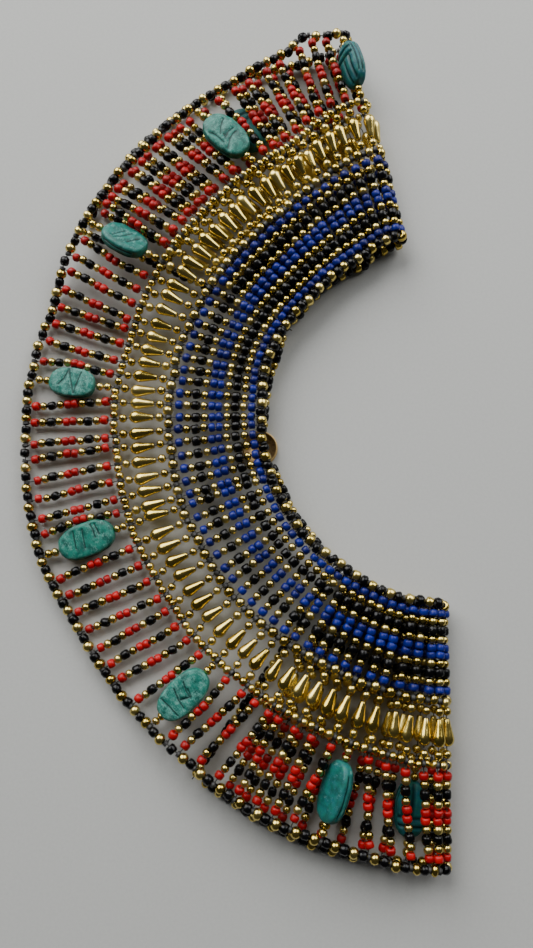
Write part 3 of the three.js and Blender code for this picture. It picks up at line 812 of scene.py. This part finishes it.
def makeScarab(n):
    bm = bmesh.new()
    bmesh.ops.create_cube(bm, size=2)
    bmesh.ops.subdivide_edges(bm, edges=bm.edges[:], cuts=scarab["cuts"], use_grid_fill=True)
    lies = scarabsLie[n]
    size = (scarab["width"] * lies["wide"], scarab["length"] * lies["long"], scarab["thickness"])
    half = Vector(size) / 2
    for vert in bm.verts:
        x, y, z = (abs(c) for c in vert.co)
        power = scarab["facePower"] if vert.co.z > 0 else scarab["backPower"]
        plan = (x ** scarab["planPower"] + y ** scarab["planPower"]) ** (power / scarab["planPower"])
        vert.co /= (plan + z ** power) ** (1 / power)
        vert.co = Vector((vert.co.x * half.x, vert.co.y * half.y, vert.co.z * half.z))
    bm.normal_update()
    moves, cuts = [], []
    for vert in bm.verts:
        x, y, z = vert.co
        # dents and pits from another part of the noise for each scarab
        dent = scarab["dent"] * noise.noise(vert.co * scarab["dentScale"] + Vector((9 * n, 0, 0)))
        pit = noise.noise(vert.co * scarab["pitScale"] + Vector((0, 7 * n, 0)))
        dent += scarab["dent"] * scarab["pitShare"] * pit
        if abs(vert.normal.z) > scarab["flatFrom"]:
            runs = scarabFaces[n]["grooves"] if z > 0 else backGrooves
            cut = max(0, 1 - nearestRun(x, y, runs) / (2 * scarab["grooveWidth"]))
            dent -= scarab["grooveDepth"] * cut
        else:
            off = min(abs(z - height) for height in scarab["slotHeights"])
            cut = max(0, 1 - off / scarab["slotWidth"])
            cut *= min(1, max(0, (half.y * scarab["slotReach"] - abs(y)) / scarab["slotFade"]))
            dent -= scarab["slotDepth"] * cut
        moves.append(vert.normal * dent)
        cuts.append(cut)
    for vert, move in zip(bm.verts, moves):
        vert.co += move
    mesh = meshOf(bm, f"scarabStone{n + 1}")
    local = mesh.attributes.new("local", "FLOAT_VECTOR", "POINT")
    local.data.foreach_set("vector", [c for vert in mesh.vertices for c in vert.co])
    mesh.attributes.new("cut", "FLOAT", "POINT").data.foreach_set("value", cuts)
    mesh.transform(scarabPlace(n, half.y))
    return inScene(mesh.name, mesh)


scarabPieces = [makeScarab(n) for n in range(len(scarabFaces))]
print(len(scarabPieces), "scarabs carved")


# The clasp: a shallow round dish with a rolled edge

clasp = {
    "edge": 0.45,
    "edgeSteps": 4,
    "wall": 2.2,  # how far the edge comes in, in radii of its own
    "floor": 1.05,
    "dip": 0.12,  # by which the floor's middle is lower
    "sides": 48,
}


def makeClasp():
    size = (claspHigh - claspLow) / mm
    outer = size.x / 2
    roll = clasp["edge"]
    outline = [(0, 0), (outer - roll, 0), (outer, roll), (outer, size.z - roll)]
    for i in range(clasp["edgeSteps"]):
        turn = math.pi * (i + 1) / clasp["edgeSteps"]
        outline.append((outer - roll + roll * math.cos(turn), size.z - roll + roll * math.sin(turn)))
    outline += [(outer - clasp["wall"] * roll, clasp["floor"]), (0, clasp["floor"] - clasp["dip"])]
    bm = spun(outline, clasp["sides"])
    mesh = meshOf(bm, "claspDish")
    base = Vector(((claspLow.x + claspHigh.x) / 2, (claspLow.y + claspHigh.y) / 2, claspLow.z))
    mesh.transform(Matrix.Translation(base) @ Matrix.Scale(mm, 4))
    return inScene("claspDish", mesh)


claspPiece = makeClasp()
print("clasp turned")


# Finishes


class Wire:
    # a socket that sums can be written with
    def __init__(self, finish, socket):
        self.finish = finish
        self.socket = socket

    def maths(self, operation, *values, clamp=False):
        settings = {"operation": operation, "use_clamp": clamp}
        return self.finish.node("ShaderNodeMath", settings, dict(enumerate(values)))

    def __add__(self, other):
        return self.maths("ADD", self, other)

    def __radd__(self, other):
        return self.maths("ADD", other, self)

    def __sub__(self, other):
        return self.maths("SUBTRACT", self, other)

    def __rsub__(self, other):
        return self.maths("SUBTRACT", other, self)

    def __mul__(self, other):
        return self.maths("MULTIPLY", self, other)

    def __rmul__(self, other):
        return self.maths("MULTIPLY", other, self)

    def __truediv__(self, other):
        return self.maths("DIVIDE", self, other)

    def __rtruediv__(self, other):
        return self.maths("DIVIDE", other, self)

    def clamped(self):
        return self.maths("ADD", self, 0, clamp=True)

    def rise(self, start, steepness):
        # 0 up to the start, and from there up to 1
        return ((self - start) * steepness).clamped()

    def least(self, other):
        return self.maths("MINIMUM", self, other)


class Finish:
    def __init__(self, name):
        self.material = bpy.data.materials.new(name)
        self.material.use_nodes = True
        self.tree = self.material.node_tree
        self.tree.nodes.clear()

    def node(self, kind, settings=None, inputs=None, output=0):
        made = self.tree.nodes.new(kind)
        for name, value in (settings or {}).items():
            setattr(made, name, value)
        for name, value in (inputs or {}).items():
            if isinstance(value, Wire):
                self.tree.links.new(value.socket, made.inputs[name])
            else:
                made.inputs[name].default_value = value
        return Wire(self, made.outputs[output])

    def attribute(self, name, output="Fac"):
        return self.node("ShaderNodeAttribute", {"attribute_name": name}, output=output)

    def noise(self, where, scale, detail, roughness=0.55):
        inputs = {"Vector": where, "Scale": scale, "Detail": detail, "Roughness": roughness}
        return self.node("ShaderNodeTexNoise", {"noise_dimensions": "3D"}, inputs)

    def mix(self, share, first, second):
        def filled(colour):
            return colour if isinstance(colour, Wire) else (*colour, 1)

        inputs = {0: share, 6: filled(first), 7: filled(second)}
        return self.node("ShaderNodeMix", {"data_type": "RGBA"}, inputs, output=2)

    def vector(self, operation, *values, output=0):
        return self.node("ShaderNodeVectorMath", {"operation": operation}, dict(enumerate(values)), output)

    def here(self):
        return self.node("ShaderNodeTexCoord", output="Object")

    def pointed(self):
        return self.node("ShaderNodeNewGeometry", output="Pointiness")

    def bump(self, height, strength, distance):
        inputs = {"Strength": strength, "Distance": distance, "Height": height}
        return self.node("ShaderNodeBump", {}, inputs)

    def shade(self, **inputs):
        named = {name.replace("_", " "): value for name, value in inputs.items()}
        shader = self.node("ShaderNodeBsdfPrincipled", {}, named)
        end = self.tree.nodes.new("ShaderNodeOutputMaterial")
        self.tree.links.new(shader.socket, end.inputs["Surface"])
        return self.material


goldLook = {
    "deep": (0.50, 0.36, 0.065),
    "pale": (0.83, 0.66, 0.205),
    "patch": (0.34, 0.22, 0.05),
    "patches": {"scale": 900, "detail": 2},
    "patchShare": 0.25,
    "patchSteepness": 6.0,
    "patchStart": 3.4,
    "rough": 0.17,
    "roughSpread": 0.12,
    "dimples": {"scale": 1500, "detail": 2},
    "bump": 0.12,
    "bumpHeight": 0.0002,
}


def goldFinish():
    finish = Finish("goldBead")
    tone = finish.attribute("tone")
    where = finish.here()
    patches = finish.noise(where, **goldLook["patches"])
    base = finish.mix(tone, goldLook["deep"], goldLook["pale"])
    worn = (patches * goldLook["patchSteepness"] - goldLook["patchStart"]).clamped()
    colour = finish.mix(worn * goldLook["patchShare"], base, goldLook["patch"])
    dimples = finish.noise(where, **goldLook["dimples"])
    return finish.shade(
        Base_Color=colour,
        Metallic=1.0,
        Roughness=tone * goldLook["roughSpread"] + goldLook["rough"],
        Normal=finish.bump(dimples, goldLook["bump"], goldLook["bumpHeight"]),
    )


glassLooks = {
    "red": {"deep": (0.24, 0.001, 0.002), "pale": (0.50, 0.004, 0.005), "rough": 0.32, "shine": 0.35},
    "blue": {"deep": (0.001, 0.003, 0.075), "pale": (0.004, 0.014, 0.24), "rough": 0.3, "shine": 0.35},
    "black": {
        "deep": (0.0005, 0.0005, 0.0007),
        "pale": (0.003, 0.003, 0.0035),
        "rough": 0.16,
        "shine": 0.26,
    },
}
glassBody = {
    "clouds": {"scale": 700, "detail": 2},
    "byTone": 0.75,  # how much a bead's own tone decides, and how much the clouds in it
    "byCloud": 0.7,
    "start": 0.22,
    "roughSpread": 0.15,
    "bump": 0.5,
    "bumpHeight": 0.0004,
}


def glassFinish(colour):
    look = glassLooks[colour]
    finish = Finish(f"{colour}Bead")
    tone = finish.attribute("tone")
    clouds = finish.noise(finish.here(), **glassBody["clouds"])
    share = (tone * glassBody["byTone"] + clouds * glassBody["byCloud"] - glassBody["start"]).clamped()
    return finish.shade(
        Base_Color=finish.mix(share, look["deep"], look["pale"]),
        Roughness=look["rough"] + clouds * glassBody["roughSpread"],
        Specular_IOR_Level=look["shine"],
        Normal=finish.bump(clouds, glassBody["bump"], glassBody["bumpHeight"]),
    )


threadLooks = {
    "thread": {"deep": (0.02, 0.02, 0.019), "pale": (0.09, 0.09, 0.085), "rough": 0.6},
    "threadWrap": {"deep": (0.02, 0.02, 0.019), "pale": (0.55, 0.55, 0.52), "rough": 0.55},
}
threadBody = {
    "clouds": {"scale": 300, "detail": 2},
    "byCloud": 0.7,
    "least": 0.3,  # share of the pale colour on the darkest thread
    "twist": {"scale": 4000, "detail": 1},
    "outside": {"start": 0.42, "steepness": 6},  # painted shade: the turns' outsides are paler and the creases between them darker, where shade falls
    "bump": 0.3,
    "bumpHeight": 0.0001,
}


def threadFinish(name):
    look = threadLooks[name]
    finish = Finish(name)
    where = finish.here()
    clouds = finish.noise(where, **threadBody["clouds"])
    twist = finish.noise(where, **threadBody["twist"])
    # painted shade: less pointed places, the creases between a wrap's turns, take the deep colour
    outside = finish.pointed().rise(**threadBody["outside"])
    share = (clouds * threadBody["byCloud"] + threadBody["least"]) * outside
    return finish.shade(
        Base_Color=finish.mix(share, look["deep"], look["pale"]),
        Roughness=look["rough"],
        Normal=finish.bump(twist, threadBody["bump"], threadBody["bumpHeight"]),
    )


faienceLook = {
    "pale": (0.10, 0.33, 0.27),
    "green": (0.005, 0.165, 0.120),
    "pool": (0.001, 0.050, 0.042),
    "blue": (0.004, 0.105, 0.145),
    # painted shade inside the grooves
    "grooveShade": (0.001, 0.022, 0.020),
    "bare": (0.31, 0.40, 0.37),
    "rough": 0.38,
    "roughWorn": 0.3,  # by so much more where the glaze is gone
    "shine": 0.3,
    "mottle": {"scale": 0.5, "detail": 5, "roughness": 0.65},
    "grain": {"scale": 3.2, "detail": 3, "roughness": 0.7},
    "speckle": {"scale": 8.0, "detail": 2, "roughness": 0.6},
    "scratch": {"scale": 1.6, "detail": 4, "roughness": 0.7},
    "scratchTurn": (0, 0, 0.6),
    "scratchStretch": (0.5, 2.4, 1),
    "pools": {"scale": 0.33, "detail": 4, "roughness": 0.6},
    "face": {"start": scarab["thickness"] / 2 - 0.9, "steepness": 4},
    "blueStart": 0.42,
    "blueSteepness": 5,
    "blueLeast": 0.4,
    "poolFrom": {"start": 0.44, "steepness": 6},
    "poolShare": 0.8,
    "poolLessBlue": 0.4,  # by so much less where the glaze is blue
    "wearMottle": 1.1,
    "wearGrain": 0.7,
    "wearScratch": 0.6,
    "wearSteepness": 4,
    "wearStart": 5.5,
    "wearWorn": 1.6,  # how much a scarab's own wear adds
    "wearOnBack": 0.35,
    "edgeShare": 0.5,
    "edgeFrom": {"start": 0.5, "steepness": 9},
    "bareFrom": {"start": 0.53, "steepness": 9},
    "bareShare": 0.8,
    # share of painted shade in the middle of a groove
    "grooveShadeShare": 0.95,
    "grooveRagged": 0.3,  # mm by which the grain moves a groove's edge
    "cutRagged": 0.2,
    "bumpGrain": 0.35,
    "bumpScratch": 0.3,
    "bumpGroove": 1.2,
    "bump": 0.45,
    "bumpHeight": 0.0004,
}


def grooveDistance(finish, flat, a, b):
    way = Vector((b[0] - a[0], b[1] - a[1], 0))
    fromStart = finish.vector("SUBTRACT", flat, (*a, 0))
    along = finish.vector("DOT_PRODUCT", fromStart, tuple(way), output=1)
    share = (along / way.length_squared).clamped()
    foot = finish.node("ShaderNodeCombineXYZ", {}, {"X": share * way.x, "Y": share * way.y})
    return finish.vector("LENGTH", finish.vector("SUBTRACT", fromStart, foot), output=1)


def faceGroove(finish, local, grain, runs):
    # 1 in the middle of a groove, 0 beyond its ragged edge
    flat = finish.vector("MULTIPLY", local, (1, 1, 0))
    ends = [pair for run in runs for pair in zip(run, run[1:])]
    nearest = grooveDistance(finish, flat, *ends[0])
    for pair in ends[1:]:
        nearest = nearest.least(grooveDistance(finish, flat, *pair))
    ragged = nearest + (grain - 0.5) * faienceLook["grooveRagged"]
    return (1 - ragged / scarab["grooveWidth"]).clamped()


def faienceFinish(n):
    facts, look = scarabFaces[n], faienceLook
    finish = Finish(f"faience{n + 1}")
    local = finish.attribute("local", "Vector")
    where = finish.vector("ADD", local, (13 * n, 0, 0))  # another part of every pattern for each scarab
    onFace = finish.vector("DOT_PRODUCT", local, (0, 0, 1), output=1).rise(**look["face"])
    mottle = finish.noise(where, **look["mottle"])
    grain = finish.noise(where, **look["grain"])
    speckle = finish.noise(where, **look["speckle"])
    stretch = {"Vector": where, "Rotation": look["scratchTurn"], "Scale": look["scratchStretch"]}
    scratches = finish.noise(finish.node("ShaderNodeMapping", {}, stretch), **look["scratch"])

    # the glaze: green to blue, darker where it pooled
    blueness = (mottle - look["blueStart"]) * (look["blueSteepness"] * facts["blue"])
    blueness = (blueness + facts["blue"] * look["blueLeast"]).clamped()
    glaze = finish.mix(blueness, look["green"], look["blue"])
    pooled = finish.noise(where, **look["pools"]).rise(**look["poolFrom"])
    pooled = pooled * (look["poolShare"] - look["poolLessBlue"] * facts["blue"])
    glaze = finish.mix(pooled, glaze, look["pool"])

    # its wear: faded on the face and along the edges, bare in specks
    wear = mottle * look["wearMottle"] + grain * look["wearGrain"] + scratches * look["wearScratch"]
    wear = wear * look["wearSteepness"] - look["wearStart"] + facts["worn"] * look["wearWorn"]
    onBack = look["wearOnBack"]
    edges = finish.pointed().rise(**look["edgeFrom"])
    faded = wear.clamped() * (onBack + onFace * (1 - onBack)) + edges * look["edgeShare"]
    faded = faded.clamped()
    colour = finish.mix(faded, glaze, look["pale"])
    bare = (speckle * 0.5 + scratches * 0.5).rise(**look["bareFrom"]) * faded * look["bareShare"]
    colour = finish.mix(bare, colour, look["bare"])

    # its grooves: those of the mesh, and on the face a line that follows their middle; painted shade
    # darkens them and the bump dents them
    groove = finish.attribute("cut") + (grain - 0.5) * look["cutRagged"]
    if facts["grooves"]:
        fine = faceGroove(finish, local, grain, facts["grooves"]) * onFace
        groove = fine + groove * (1 - onFace)
    groove = groove.clamped()
    # painted shade: the grooves go almost black
    colour = finish.mix(groove * look["grooveShadeShare"], colour, look["grooveShade"])
    height = grain * look["bumpGrain"] + scratches * look["bumpScratch"] - groove * look["bumpGroove"]
    return finish.shade(
        Base_Color=colour,
        Roughness=look["rough"] + faded * look["roughWorn"],
        Specular_IOR_Level=look["shine"],
        Normal=finish.bump(height, look["bump"], look["bumpHeight"]),
    )


claspLook = {
    "deep": (0.15, 0.085, 0.04),
    "pale": (0.50, 0.33, 0.13),
    "edge": (0.70, 0.50, 0.20),
    "clouds": {"scale": 260, "detail": 5, "roughness": 0.7},
    "spots": {"scale": 900, "detail": 3, "roughness": 0.6},
    "byCloud": 0.7,
    "bySpot": 0.5,
    "stainSteepness": 2.6,
    "stainStart": 1.05,
    "edgeFrom": {"start": 0.5, "steepness": 8},
    "metal": 0.55,
    "rough": 0.52,
    "roughLess": 0.2,  # by so much less where it is pale
    "bumpSpot": 0.5,
    "bump": 0.35,
    "bumpHeight": 0.0003,
}


def claspFinish():
    finish = Finish("claspBrass")
    where = finish.here()
    clouds = finish.noise(where, **claspLook["clouds"])
    spots = finish.noise(where, **claspLook["spots"])
    tarnish = clouds * claspLook["byCloud"] + spots * claspLook["bySpot"]
    stain = (tarnish * claspLook["stainSteepness"] - claspLook["stainStart"]).clamped()
    colour = finish.mix(stain, claspLook["deep"], claspLook["pale"])
    edges = finish.pointed().rise(**claspLook["edgeFrom"])
    height = clouds + spots * claspLook["bumpSpot"]
    return finish.shade(
        Base_Color=finish.mix(edges, colour, claspLook["edge"]),
        Metallic=claspLook["metal"],
        Roughness=claspLook["rough"] - stain * claspLook["roughLess"],
        Normal=finish.bump(height, claspLook["bump"], claspLook["bumpHeight"]),
    )


floorLook = {
    "size": 3.0,
    "deep": (0.475, 0.48, 0.465),
    "pale": (0.545, 0.55, 0.53),
    "weave": {"scale": 900, "detail": 2},
    "rough": 0.95,
}


def clothFinish():
    finish = Finish("clothFloor")
    weave = finish.noise(finish.here(), **floorLook["weave"])
    colour = finish.mix(weave, floorLook["deep"], floorLook["pale"])
    return finish.shade(Base_Color=colour, Roughness=floorLook["rough"])


# Every piece gets its finish and a place under the root body, and the solid that it replaces is hidden

goldOne = goldFinish()
threadOne = threadFinish("thread")
wrapOne = threadFinish("threadWrap")
glassOnes = {colour: glassFinish(colour) for colour in glassLooks}
nodeOf = {
    "rim": "rim_string",
    "outer": "outer_net",
    "upper": "outer_net",
    "drop": "teardrop_row",
    "lower": "teardrop_row",
    "inner": "inner_net",
    "neck": "neck_string",
    "endTop": "end_string_top",
    "endBottom": "end_string_bottom",
    "cordTop": "neck_cord_top",
    "cordBottom": "neck_cord_bottom",
}


def dress(piece, finish, node=None):
    piece.data.materials.clear()
    piece.data.materials.append(finish)
    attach(piece, "root")
    if node:
        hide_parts(node)


for name, piece in beadPieces.items():
    if name == "threadWraps":
        dress(piece, wrapOne)
        continue
    band = max((band for band in nodeOf if name.startswith(band)), key=len)
    colour = name.removeprefix(band).lower()
    if colour in glassOnes:
        dress(piece, glassOnes[colour], nodeOf[band])
    else:
        dress(piece, goldOne, nodeOf[band])
dress(strandThreadPiece, threadOne)
dress(stringThreadPiece, threadOne)
for n, piece in enumerate(scarabPieces):
    dress(piece, faienceFinish(n), f"scarab_{n + 1}")
dress(claspPiece, claspFinish(), "clasp")
print("finishes on")


# Floor, light and camera

bm = bmesh.new()
bmesh.ops.create_grid(bm, x_segments=1, y_segments=1, size=floorLook["size"])
floorPiece = inScene("clothFloor", meshOf(bm, "clothFloor"))
floorPiece.data.materials.append(clothFinish())

lights = {
    "window": {"at": (-0.65, 1.15, 0.9), "size": 1.6, "power": 43, "colour": (1.0, 1.0, 0.995)},
    "lamp": {"at": (0.9, 0.95, 0.8), "size": 1.2, "power": 18, "colour": (1.0, 1.0, 0.995)},
}
surroundings = {"colour": (0.95, 0.97, 1.0), "strength": 0.05}
photoView = {
    "fromCentre": (-68.2, -58.7, 274.1),  # from the collar's own centre
    "tilt": 8,
    "sensor": 36,
    "focal": 720,
    "longSide": 948,  # focal length and long side in the photograph's pixels
    "nearest": 0.01,
}

for name, facts in lights.items():
    data = bpy.data.lights.new(name, "AREA")
    data.shape = "DISK"
    data.size = facts["size"]
    data.energy = facts["power"]
    data.color = facts["colour"]
    lamp = bpy.data.objects.new(name, data)
    lamp.location = facts["at"]
    lamp.rotation_euler = (-Vector(facts["at"])).to_track_quat("-Z", "Y").to_euler()
    bpy.context.scene.collection.objects.link(lamp)
world = bpy.context.scene.world or bpy.data.worlds.new("surroundings")
bpy.context.scene.world = world
world.use_nodes = True
sky = world.node_tree.nodes["Background"]
sky.inputs["Color"].default_value = (*surroundings["colour"], 1)
sky.inputs["Strength"].default_value = surroundings["strength"]
cameraData = bpy.data.cameras.new("photoCamera")
cameraData.sensor_fit = "AUTO"
cameraData.sensor_width = photoView["sensor"]
cameraData.lens = photoView["focal"] / photoView["longSide"] * photoView["sensor"]
cameraData.clip_start = photoView["nearest"]
camera = bpy.data.objects.new("photoCamera", cameraData)
camera.location = inFrame(Vector(photoView["fromCentre"]))
camera.rotation_euler = (math.radians(photoView["tilt"]), 0, 0)
bpy.context.scene.collection.objects.link(camera)
bpy.context.scene.camera = camera
print("stage set")
